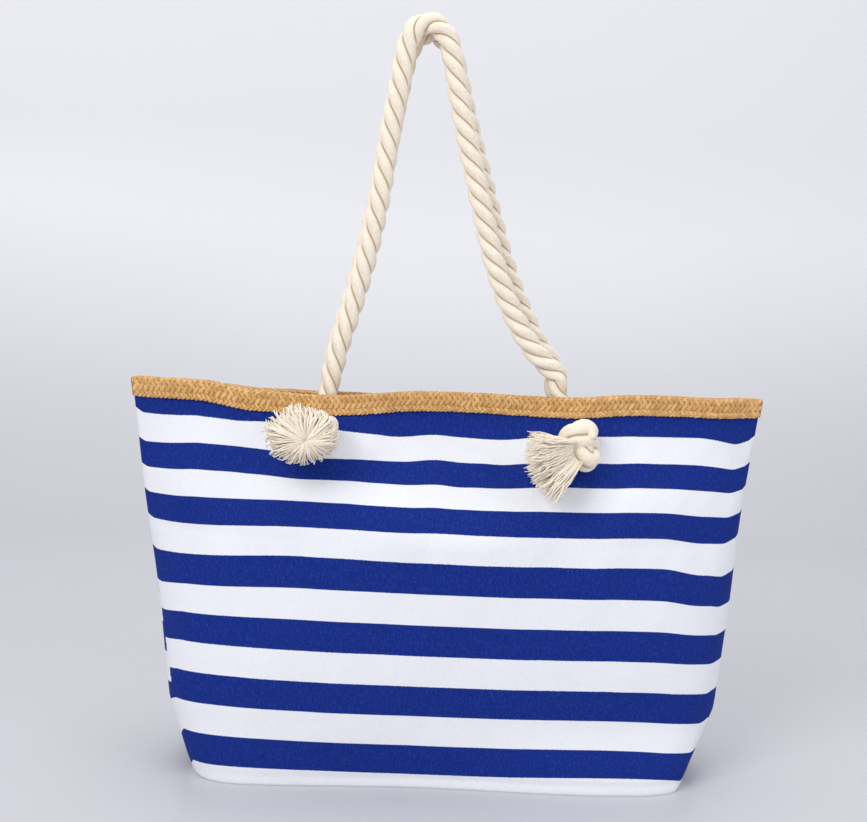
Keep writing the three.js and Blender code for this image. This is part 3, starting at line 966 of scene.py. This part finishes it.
def add_leaf(braid, side, x, row, random):
    """One straw of the plait, a little different from the others in size, turn and tone, with painted shade
    towards its edges and ends.
    """
    at, long, wide, slant, _, height = row
    along, across, crown = leaf_shape(long * random.uniform(0.93, 1.07), wide * random.uniform(0.92, 1.1))
    turn = math.radians(slant + random.uniform(-9, 9))
    tuck = LEAF_TUCK * along / long
    lift = height * crown * random.uniform(0.85, 1.15) + tuck
    w = at + random.uniform(-0.25, 0.25) + along * math.sin(turn) + across * math.cos(turn)
    spot = x + along * math.cos(turn) - across * math.sin(turn), np.clip(w, -0.4, None)
    top = trim_point(side, *spot, lift)
    under = trim_point(side, *spot, np.minimum(lift - LEAF_THICK, tuck - 0.35))
    # Each straw's own random tone, made darker towards its edges and ends as painted shade where it dips
    # under its neighbours.
    shade = np.clip(random.uniform(0.25, 1.0) - 0.75 * (1 - crown), 0, 1)
    value = np.repeat(shade.reshape(-1, 1), 3, axis=1)
    points = np.concatenate([top.reshape(-1, 3), under.reshape(-1, 3)])
    braid.add(points, LEAF_FACES, np.concatenate([value, value]))


def add_trim(name, side, random):
    braid = Batch()
    last = TRIM_HALF - TRIM_END
    for index, row in enumerate(PLAIT_ROWS):
        spacing = row[4]
        for k in range(int(2 * last / spacing) + 1):
            x = -last + (k + 0.5 * (index % 2)) * spacing
            if x <= last:
                add_leaf(braid, side, x, row, random)
    obj = braid.build(f"{name}_trim_plait", STRAW)
    place(obj, "plaited_straw", f"{name}_trim")


def add_trim_gap_shade(name, side):
    """A thin dark sheet under the braid, tinted the darkest straw colour as painted shade, seen only in the
    gaps between its leaves.
    """
    across = np.linspace(-TRIM_HALF, TRIM_HALF, 221)
    over = np.linspace(0.6, TRIM_HEIGHT + FOLD_LENGTH + INNER_HEIGHT - 4, 33)
    x, w = np.meshgrid(across, over)
    outer, inner = trim_point(side, x, w, GROUND_OUTER), trim_point(side, x, w, GROUND_INNER)
    obj, _ = shell(f"{name}_trim_shaded_gaps", outer, inner, STRAW)
    # Tint nought gives the darkest straw colour: painted shade in the gaps.
    add_point_values(obj, "tint", np.zeros((len(obj.data.vertices), 3)))
    place(obj, "plaited_straw")


for wall_name, wall_side in WALLS.items():
    add_trim(wall_name, wall_side, Random(11 + wall_side))
    add_trim_gap_shade(wall_name, wall_side)

# ---- eyelets, washers and snap ----


def wall_seat(side, x, z):
    """Where a point of the wall lies, and its turn as a matrix whose Z axis points outwards."""
    step = 4.0

    def at(dx, dz):
        up = np.array(z + dz)
        depth = wall_depth((x + dx) / half_width(up), up)
        return np.array([x + dx, side * (SEAM_HALF_GAP + float(depth)), z + dz])

    out = -side * np.cross(at(step, 0) - at(-step, 0), at(0, step) - at(0, -step))
    out /= np.linalg.norm(out)
    across = np.cross([0.0, 0.0, 1.0], out)
    across /= np.linalg.norm(across)
    return at(0, 0), np.stack([across, np.cross(out, across), out], -1)


TURNED_SEGMENTS = 48
ROUNDING_STEPS = 4


def lathe(profile):
    """A closed ring turned about Z from a closed outline of radius and height."""
    angle = math.tau * np.arange(TURNED_SEGMENTS)[:, None] / TURNED_SEGMENTS
    radius, height = np.asarray(profile, float).T
    level = np.broadcast_to(height, (TURNED_SEGMENTS, len(height)))
    points = np.stack([radius * np.cos(angle), radius * np.sin(angle), level], -1).reshape(-1, 3)
    n = len(height)
    faces = []
    for i in range(TURNED_SEGMENTS):
        a, b = i * n, ((i + 1) % TURNED_SEGMENTS) * n
        faces += [[a + k, a + (k + 1) % n, b + (k + 1) % n, b + k] for k in range(n)]
    return points, faces


def rounded(inner, outer, low, high, soft):
    """A ring's outline with rounded corners."""
    left, right = inner + soft, outer - soft
    bottom, top = low + soft, high - soft
    out = []
    for quarter, (cx, cy) in enumerate([(right, top), (left, top), (left, bottom), (right, bottom)]):
        for k in range(ROUNDING_STEPS + 1):
            a = math.pi / 2 * (quarter + k / ROUNDING_STEPS)
            out.append((cx + soft * math.cos(a), cy + soft * math.sin(a)))
    return out


def add_turned(name, profile, seat, material, slot, *nodes):
    points, faces = lathe(profile)
    at, turn = seat
    obj = add_mesh(name, points @ turn.T + at, faces, material)
    face_outwards(obj)
    place(obj, slot, *nodes)


EYELET_BORE = 9.3
BARREL = 10.0
BARREL_LOW = -4.4
FLANGE = 12.2
FLANGE_HIGH = 0.7  # of the dome above the flange's edge
LIP = 0.5  # how far the bore widens at its mouth


def eyelet_profile():
    """A pressed eyelet: a barrel that rolls over into a domed flange."""
    wide = 0.6 * (FLANGE - BARREL)
    flange = [(BARREL + 0.3, 0.25), (FLANGE - 0.4, 0.25), (FLANGE, 0.55)]
    turns = np.linspace(0.2, math.pi / 2, 6)
    dome = [(FLANGE - wide + wide * math.cos(a), 0.65 + FLANGE_HIGH * math.sin(a)) for a in turns]
    turns = np.linspace(0.2, 1.5, 4)
    lip = [(EYELET_BORE + LIP * (1 - math.sin(a)), 0.6 + FLANGE_HIGH * math.cos(a)) for a in turns]
    return flange + dome + lip + [(EYELET_BORE, BARREL_LOW), (BARREL, BARREL_LOW)]


def add_eyelet(spot, seat):
    washer = rounded(BARREL + 0.3, FLANGE, -5.0, -3.9, 0.4)
    for piece, profile in (("eyelet", eyelet_profile()), ("washer", washer)):
        add_turned(f"{spot}_{piece}_pressed", profile, seat, BRASS, "eyelet_brass", f"{spot}_{piece}")


def add_eyelets():
    for name, side in WALLS.items():
        add_eyelet(f"{name}_left", wall_seat(side, -EYELET_X, EYELET_Z))
        add_eyelet(f"{name}_right", wall_seat(side, EYELET_X, EYELET_Z))


# Outlines of the snap and of its backing plate: radius, and place along the axis that points outwards.
SNAP_BODY = [
    (0.01, -8.9), (7.9, -8.9), (8.7, -8.6), (9.0, -8.0), (9.0, -5.6), (8.6, -5.0),
    (7.9, -4.7), (2.5, -4.7), (2.5, -2.7), (2.2, -2.6), (0.01, -2.6),
]
SNAP_PLATE = [
    (0.01, -2.4), (7.2, -2.4), (7.6, -2.2), (7.6, -2.0), (7.2, -1.9), (0.01, -1.9),
]


def add_snap():
    for name, side in (("snap_socket", FRONT), ("snap_stud", BACK)):
        at = np.array([0.0, side * (SEAM_HALF_GAP + PINCH_DEPTH), SNAP_Z])
        turn = np.stack([[side, 0, 0], [0, 0, 1], [0, side, 0]], -1).astype(float)
        add_turned(f"{name}_pressed", SNAP_BODY, (at, turn), NICKEL, "nickel", name)
        add_turned(f"{name}_plate_pressed", SNAP_PLATE, (at, turn), NICKEL, "nickel", f"{name}_plate")


add_eyelets()
add_snap()

# ---- knots and tassels ----

KNOT_REACH = np.array([8.0, 5.95, 13.5])  # of the middle of its rope: across, outwards and up
KNOT_OUT = 20.1  # from the canvas to the knot's middle
KNOT_ROPE = 10.5
KNOT_LAY = 62.0
KNOT_STEP = 1.5
KNOT_TIP = 6  # rings over which each end of a knot narrows
KNOT_SHIFT = {
    "front_left": (-5, 0, -1),
    "front_right": (-6, -1, -3),
    "back_left": (0, 0, 0),
    "back_right": (-2, 0, -2),
}


def knot_path(side, hand, roll):
    """An overhand knot drawn tight, its middle at the origin."""
    u = np.linspace(0.10, 0.97, 150) * math.tau
    across = (np.sin(u) + 2 * np.sin(2 * u)) / 3
    up = (np.cos(u) - 2 * np.cos(2 * u)) / 3
    path = np.stack([across * hand, -np.sin(3 * u), up], -1) * KNOT_REACH
    path = path @ np.array(Matrix.Rotation(math.radians(roll), 3, "Y")).T
    path[:, 1] *= -side
    return path


def add_knot(spot, side, hand, roll):
    """A stopper knot in front of its eyelet. Returns its middle."""
    at, turn = wall_seat(side, hand * EYELET_X, EYELET_Z)
    centre = at + KNOT_OUT * turn[:, 2] + KNOT_SHIFT[spot]
    path = even(knot_path(side, hand, roll), KNOT_STEP) + centre
    ring = np.arange(len(path))
    radii = KNOT_ROPE * blend_between(0.55, 1, smooth(np.minimum(ring, ring[::-1]) / KNOT_TIP))
    obj = rope_mesh(f"{spot}_knot_tied", path, radii, KNOT_LAY, hand * 1.1)
    place(obj, "cotton_rope", f"{spot}_knot")
    return centre


YARN_STEPS = 11
YARN_SIDES = 5
YARN_RADIUS = 0.62
YARN_CRIMP = 0.9
ALONG_YARN = np.linspace(0, 1, YARN_STEPS)


def yarn_ring(path, radius):
    _, side, up = transport_frames(path)
    angle = math.tau * np.arange(YARN_SIDES) / YARN_SIDES
    ring = np.cos(angle)[None, :, None] * side[:, None, :] + np.sin(angle)[None, :, None] * up[:, None, :]
    taper = np.ones(len(path))
    taper[-2:] = 0.85, 0.45
    return (path[:, None, :] + ring * (radius * taper)[:, None, None]).reshape(-1, 3)


def add_yarn(batch, path, random):
    """One combed-out yarn, crimped as it was in the rope, with painted shade near its root where the yarns
    crowd together.
    """
    for axis in range(3):
        phase, turns = random.uniform(0, math.tau), random.uniform(1.2, 2.6)
        path[:, axis] += YARN_CRIMP * ALONG_YARN * np.sin(phase + turns * math.tau * ALONG_YARN)
    # Each yarn's own random tone, with painted shade towards its root.
    shade = random.uniform(0.0, 0.5) + 0.3 * (1 - ALONG_YARN) ** 2
    value = np.repeat(np.stack([shade] * 3, -1), YARN_SIDES, axis=0)
    points = yarn_ring(path, YARN_RADIUS * random.uniform(0.8, 1.15))
    batch.add(points, tube_faces(YARN_STEPS, YARN_SIDES), value)


def add_tassel(spot, batch):
    obj = batch.build(f"{spot}_tassel_combed", YARN)
    place(obj, "cotton_rope", f"{spot}_tassel")


def add_pompom(spot, side, centre, aim, radii, count, random):
    """A tassel combed flat into a round pompom: yarns spread from one point and fall back all round."""
    batch = Batch()
    u = ALONG_YARN
    apex = centre + np.array([aim[0], side * radii[1] * 0.95, aim[1]])
    rise = np.sin(math.pi * np.minimum(1, 1.25 * u)) * 2.4
    fall = (1 - np.cos(math.pi / 2 * u**1.1)) * radii[1]
    for k in range(count):
        angle = random.uniform(0, math.tau)
        layer = (k + 0.5) / count  # from the innermost yarns to the outermost
        reach = (0.62 + 0.42 * layer) * random.uniform(0.86, 1.08)
        away = np.array([math.cos(angle) * radii[0] - aim[0], 0, math.sin(angle) * radii[2] - aim[1]])
        swirl = np.array([-math.sin(angle), 0, math.cos(angle)]) * random.uniform(-6, 9)
        sink = fall * random.uniform(1.0, 1.5) + (1 - layer) * 8 * (1 - 0.6 * u)
        path = apex + away * (reach * np.sin(math.pi / 2 * u))[:, None] + swirl * (u**1.6)[:, None]
        path[:, 1] -= side * (sink - rise * layer)
        add_yarn(batch, path, random)
    add_tassel(spot, batch)


SPRAY_ROOT = 20.0  # how wide the yarns leave the knot
SPRAY_DROOP = 2.5
SPRAY_BULGE = 3.0


def add_spray(spot, side, root, fan, reach, count, random):
    """A tassel that sprays out of its knot within a fan of directions, hanging down at its tips."""
    batch = Batch()
    u = ALONG_YARN
    for _ in range(count):
        share = random.uniform(0, 1)
        angle = math.radians(blend_between(*fan, share))
        out = random.uniform(-0.35, 0.75)
        way = np.array([math.cos(angle), side * out, math.sin(angle)])
        long = reach * random.uniform(0.78, 1.12)
        across = np.array([-math.sin(angle), 0, math.cos(angle)])
        start = root + across * (share - 0.5) * SPRAY_ROOT + np.array([0, side * (out - 0.2) * 9, 0])
        path = start + way * (long * u)[:, None] + across * (random.uniform(-2, 2) * u**2)[:, None]
        path[:, 1] += side * SPRAY_BULGE * np.sin(math.pi * u)
        path[:, 2] -= SPRAY_DROOP * u**2
        add_yarn(batch, path, random)
    add_tassel(spot, batch)


def add_front_ends():
    pompom = add_knot("front_left", FRONT, -1, roll=80) + (-10, -20, 0.5)
    size = {"aim": (3.5, -1.5), "radii": (27.5, 17, 22), "count": 1000}
    add_pompom("front_left", FRONT, pompom, **size, random=Random(3))
    root = add_knot("front_right", FRONT, 1, roll=-24) + (-9, -13, -6)
    add_spray("front_right", FRONT, root, fan=(168, 228), reach=34, count=700, random=Random(4))


def add_back_ends():
    pompom = add_knot("back_left", BACK, -1, roll=12) + (9, 22, -13)
    size = {"aim": (-3, -2), "radii": (27, 15, 22), "count": 900}
    add_pompom("back_left", BACK, pompom, **size, random=Random(5))
    root = add_knot("back_right", BACK, 1, roll=30) + (-6, 12, -11)
    add_spray("back_right", BACK, root, fan=(205, 300), reach=32, count=600, random=Random(6))


add_front_ends()
add_back_ends()

# ---- inner pockets and zip ----

POCKET_OUTER = -4.6
POCKET_INNER = -5.5
POCKET_SLACK = 2.4
SLACK_DEPTH = 45.0  # how far down from its open edge a pocket hangs away
HEM = 9.0  # height of a pocket's folded hem
HEM_THICK = 0.7
HEM_STEP = 1.6
SEAM_INSET = 3.0  # from a pocket's edge to its seam
STITCH = 3.4  # from one stitch to the next


def on_wall(side, x, z, offset):
    """cloth_point for a distance across instead of a share of the width."""
    return cloth_point(side, x / half_width(z), z, offset)


class Pocket:
    """A patch on the lining, with its half width, its lowest and highest edge and how slack it hangs."""

    def __init__(self, side, half, low, high, slack):
        self.side = side
        self.half = half
        self.low = low
        self.high = high
        self.slack = slack

    def hang(self, x, z):
        """How far the open top hangs away from the wall behind it."""
        top = ramp(z, self.high - SLACK_DEPTH, self.high)
        return self.slack * POCKET_SLACK * np.cos(math.pi / 2 * x / self.half) * top

    def hem(self, z):
        """How much thicker the cloth is at its folded hem."""
        start = self.high - HEM - HEM_STEP / 2
        return HEM_THICK * ramp(z, start, start + HEM_STEP)

    def outer(self, x, z, soft):
        return on_wall(self.side, x, z, POCKET_OUTER - self.hang(x, z) + soft)

    def inner(self, x, z, soft):
        return on_wall(self.side, x, z, POCKET_INNER - self.hang(x, z) - self.hem(z) + soft)

    def seams(self):
        """Stitch places down one side, along the bottom and up the other side, and along the hem."""
        reach = self.half - SEAM_INSET
        top, bottom = self.high - SEAM_INSET, self.low + SEAM_INSET
        hem = self.high - HEM + 1.4
        route = seam_line([(-reach, top), (-reach, bottom), (reach, bottom), (reach, top)])
        return route + seam_line([(-reach, hem), (reach, hem)])


def add_pocket(name, node, pocket):
    half = pocket.half
    x, z = np.meshgrid(np.linspace(-half, half, 91), np.linspace(pocket.low, pocket.high, 61))
    soft = 0.05 * np.sin(x / 9 + z / 23) * np.sin(z / 15)
    obj, _ = shell(name, pocket.outer(x, z, soft), pocket.inner(x, z, soft), LINING)
    place(obj, "lining_cloth", node)
    spots = [pocket.inner(np.array(px), np.array(pz), -0.1) for px, pz in pocket.seams()]
    add_stitches(f"{name}_stitches", spots, THREAD, "lining_cloth")


def seam_line(corners):
    """Stitch places, evenly spaced along straight lines from corner to corner."""
    out = []
    for (ax, az), (bx, bz) in zip(corners, corners[1:]):
        count = int(math.hypot(bx - ax, bz - az) / STITCH)
        out += [(ax + (bx - ax) * k / count, az + (bz - az) * k / count) for k in range(count)]
    return out


def bead(radii, rings=6, sides=8):
    """A closed rounded body about the origin."""
    points = [(0.0, 0.0, -1.0)]
    around = [math.tau * i / sides for i in range(sides)]
    for j in range(1, rings):
        a = math.pi * j / rings - math.pi / 2
        points += [(math.cos(a) * math.cos(b), math.cos(a) * math.sin(b), math.sin(a)) for b in around]
    points.append((0.0, 0.0, 1.0))
    last = len(points) - 1
    faces = [[0, 1 + (i + 1) % sides, 1 + i] for i in range(sides)]
    for j in range(rings - 2):
        ring = 1 + j * sides + np.arange(sides)
        after = np.roll(ring, -1)
        faces += np.stack([ring, after, after + sides, ring + sides], -1).tolist()
    top = last - sides
    faces += [[last, top + i, top + (i + 1) % sides] for i in range(sides)]
    return np.array(points) * radii, faces


def add_stitches(name, spots, material, slot):
    """A row of short stitches, each pointing along the row, as one piece."""
    spots = np.array(spots, float).reshape(-1, 3)
    body, faces = bead((1.15, 0.28, 0.28), 5, 6)
    batch = Batch()
    for here, after in zip(spots, spots[1:]):
        way = after - here
        far = np.linalg.norm(way)
        if far > 1.6 * STITCH or far < 0.3 * STITCH:
            continue
        way /= far
        up = np.cross(way, [0.0, 1.0, 0.0])
        up /= np.linalg.norm(up)
        turn = np.stack([way, np.cross(up, way), up], -1)
        batch.add(body @ turn.T + here, faces)
    obj = batch.build(name, material)
    place(obj, slot)


ZIP_HALF = 85.0
ZIP_Z = 185.0
TAPE_Y = 66.6
TAPE_FLAT = 10.5  # half height of its flat middle
TAPE_WIDE = 16.0  # half height
TAPE_END = 9.0  # how far it goes on past each end of the zip
TAPE_RIB = 1.45
TOOTH_PITCH = 2.1


def tape_surface(x, z, lift):
    """The zip's tape: flat along its middle and drawn back to the lining at its edges."""
    back = on_wall(BACK, x, z, LINING_INNER - 1.0)[..., 1]
    level = np.abs(z - ZIP_Z)
    away = np.maximum(ramp(level, TAPE_FLAT, TAPE_FLAT + 5), ramp(np.abs(x), ZIP_HALF + 1, ZIP_HALF + 8))
    return np.stack([x, blend_between(TAPE_Y, back, away) - lift, z], -1)


def add_tape():
    across = np.linspace(-ZIP_HALF - TAPE_END, ZIP_HALF + TAPE_END, 151)
    x, z = np.meshgrid(across, np.linspace(ZIP_Z - TAPE_WIDE, ZIP_Z + TAPE_WIDE, 45))
    rib = 0.12 * np.abs(np.sin(math.pi * (z - ZIP_Z) / TAPE_RIB))
    obj, _ = shell("zip_tape_woven", tape_surface(x, z, -0.1), tape_surface(x, z, 0.35 + rib), TAPE)
    place(obj, "zip_tape", "zip_tape")


def add_coil():
    """Two interlocked rows of coil teeth."""
    batch = Batch()
    body, faces = bead((0.62, 1.15, 1.9))
    first = -ZIP_HALF + 2
    for row, offset in ((1, 0.0), (-1, 0.5)):
        for k in range(int(-2 * first / TOOTH_PITCH)):
            batch.add(body + (first + (k + offset) * TOOTH_PITCH, TAPE_Y - 1.75, ZIP_Z + row * 1.15), faces)
    obj = batch.build("zip_coil_teeth", COIL)
    place(obj, "zip_teeth", "zip_chain")


def add_zip_stitches():
    for level, z in (("lower", ZIP_Z - TAPE_FLAT + 1.2), ("upper", ZIP_Z + TAPE_FLAT - 1.2)):
        places = np.arange(-ZIP_HALF, ZIP_HALF, STITCH)
        spots = tape_surface(places, np.full(places.shape, z), 0.6)
        add_stitches(f"zip_{level}_stitches", spots, THREAD, "zip_tape")


SLIP_POCKET = Pocket(FRONT, half=80.0, low=70.0, high=165.0, slack=1.0)
ZIP_POCKET = Pocket(BACK, half=ZIP_HALF, low=60.0, high=ZIP_Z - 14, slack=0.0)
add_pocket("slip_pocket_sewn", "slip_pocket", SLIP_POCKET)
add_pocket("zip_pocket_sewn", "zip_pocket", ZIP_POCKET)
add_tape()
add_coil()
add_zip_stitches()
for node_name in ("zip_slider", "zip_puller"):
    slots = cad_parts[node_name].material_slots
    for index in range(len(slots)):
        slots[index].material = NICKEL

# ---- sewing on the trim ----


TRIM_STITCH = 5.2  # from one stitch to the next
TRIM_SEAM = 5.9  # up the braid from its outer edge


def add_trim_stitches(name, side):
    batch = Batch()
    body, faces = bead((0.95, 0.45, 0.45), 5, 6)
    for x in np.arange(-TRIM_HALF + 4, TRIM_HALF - 4, TRIM_STITCH):
        batch.add(body + trim_point(side, np.array(x), np.array(TRIM_SEAM), 0.5), faces)
    obj = batch.build(f"{name}_trim_stitches", STRAW)
    place(obj, "plaited_straw")


for wall_name, wall_side in WALLS.items():
    add_trim_stitches(wall_name, wall_side)

# ---- floor, light and the end ----


# The stage, in metres.
STAGE_HALF = 14.0
BACKDROP_Y = 1.5
BACKDROP_TOP = 3.2
COVE = 0.6  # radius of the bend from the floor up to the backdrop
COVE_STEPS = 16


def stage_material():
    s = Shader("studio_floor", 0.42)
    # Painted shade and light: darker on the floor and lighter up the backdrop, graded across the cove; the
    # soft patches are random.
    patch = s.maths("MULTIPLY", s.noise(s.place(), 3.0), 0.12)
    rise = s.remap(s.split(s.place())[2], 0.0, 0.5)
    s.out("Base Color", s.mix(s.maths("ADD", rise, patch), (0.56, 0.56, 0.59, 1), (0.80, 0.80, 0.82, 1)))
    return s.material


def add_stage():
    """A pale floor that curves up into a backdrop."""
    bend = [math.pi / 2 * k / COVE_STEPS for k in range(COVE_STEPS + 1)]
    cove = [(BACKDROP_Y - COVE + COVE * math.sin(a), COVE - COVE * math.cos(a)) for a in bend]
    profile = [(-STAGE_HALF, 0.0), *cove, (BACKDROP_Y, BACKDROP_TOP)]
    points = [(x, y, z) for y, z in profile for x in (-STAGE_HALF, STAGE_HALF)]
    faces = [[2 * k, 2 * k + 1, 2 * k + 3, 2 * k + 2] for k in range(len(profile) - 1)]
    add_mesh("studio_floor", np.array(points) / MM, faces, stage_material())


LIGHTS_AIM = Vector((0, 0, 0.25))


def add_light(name, at, size, energy, colour=(1, 1, 1)):
    data = bpy.data.lights.new(name, "AREA")
    data.size = size
    data.energy = energy
    data.color = colour
    light = bpy.data.objects.new(name, data)
    away = Vector(at) - LIGHTS_AIM
    light.matrix_world = Matrix.Translation(at) @ away.to_track_quat("Z", "Y").to_matrix().to_4x4()
    scene.collection.objects.link(light)


def add_lights():
    add_light("key", (-1.5, -1.9, 1.7), 1.4, 35, (1.0, 0.99, 0.97))
    add_light("fill", (1.9, -1.6, 1.0), 1.8, 14, (0.96, 0.98, 1.0))
    add_light("top", (0.2, 0.2, 2.1), 1.6, 13)
    world = bpy.data.worlds.new("studio")
    world.use_nodes = True
    sky = world.node_tree.nodes["Background"].inputs
    sky["Color"].default_value = (0.93, 0.95, 1.0, 1)
    sky["Strength"].default_value = 0.68
    scene.world = world


add_stage()
add_lights()
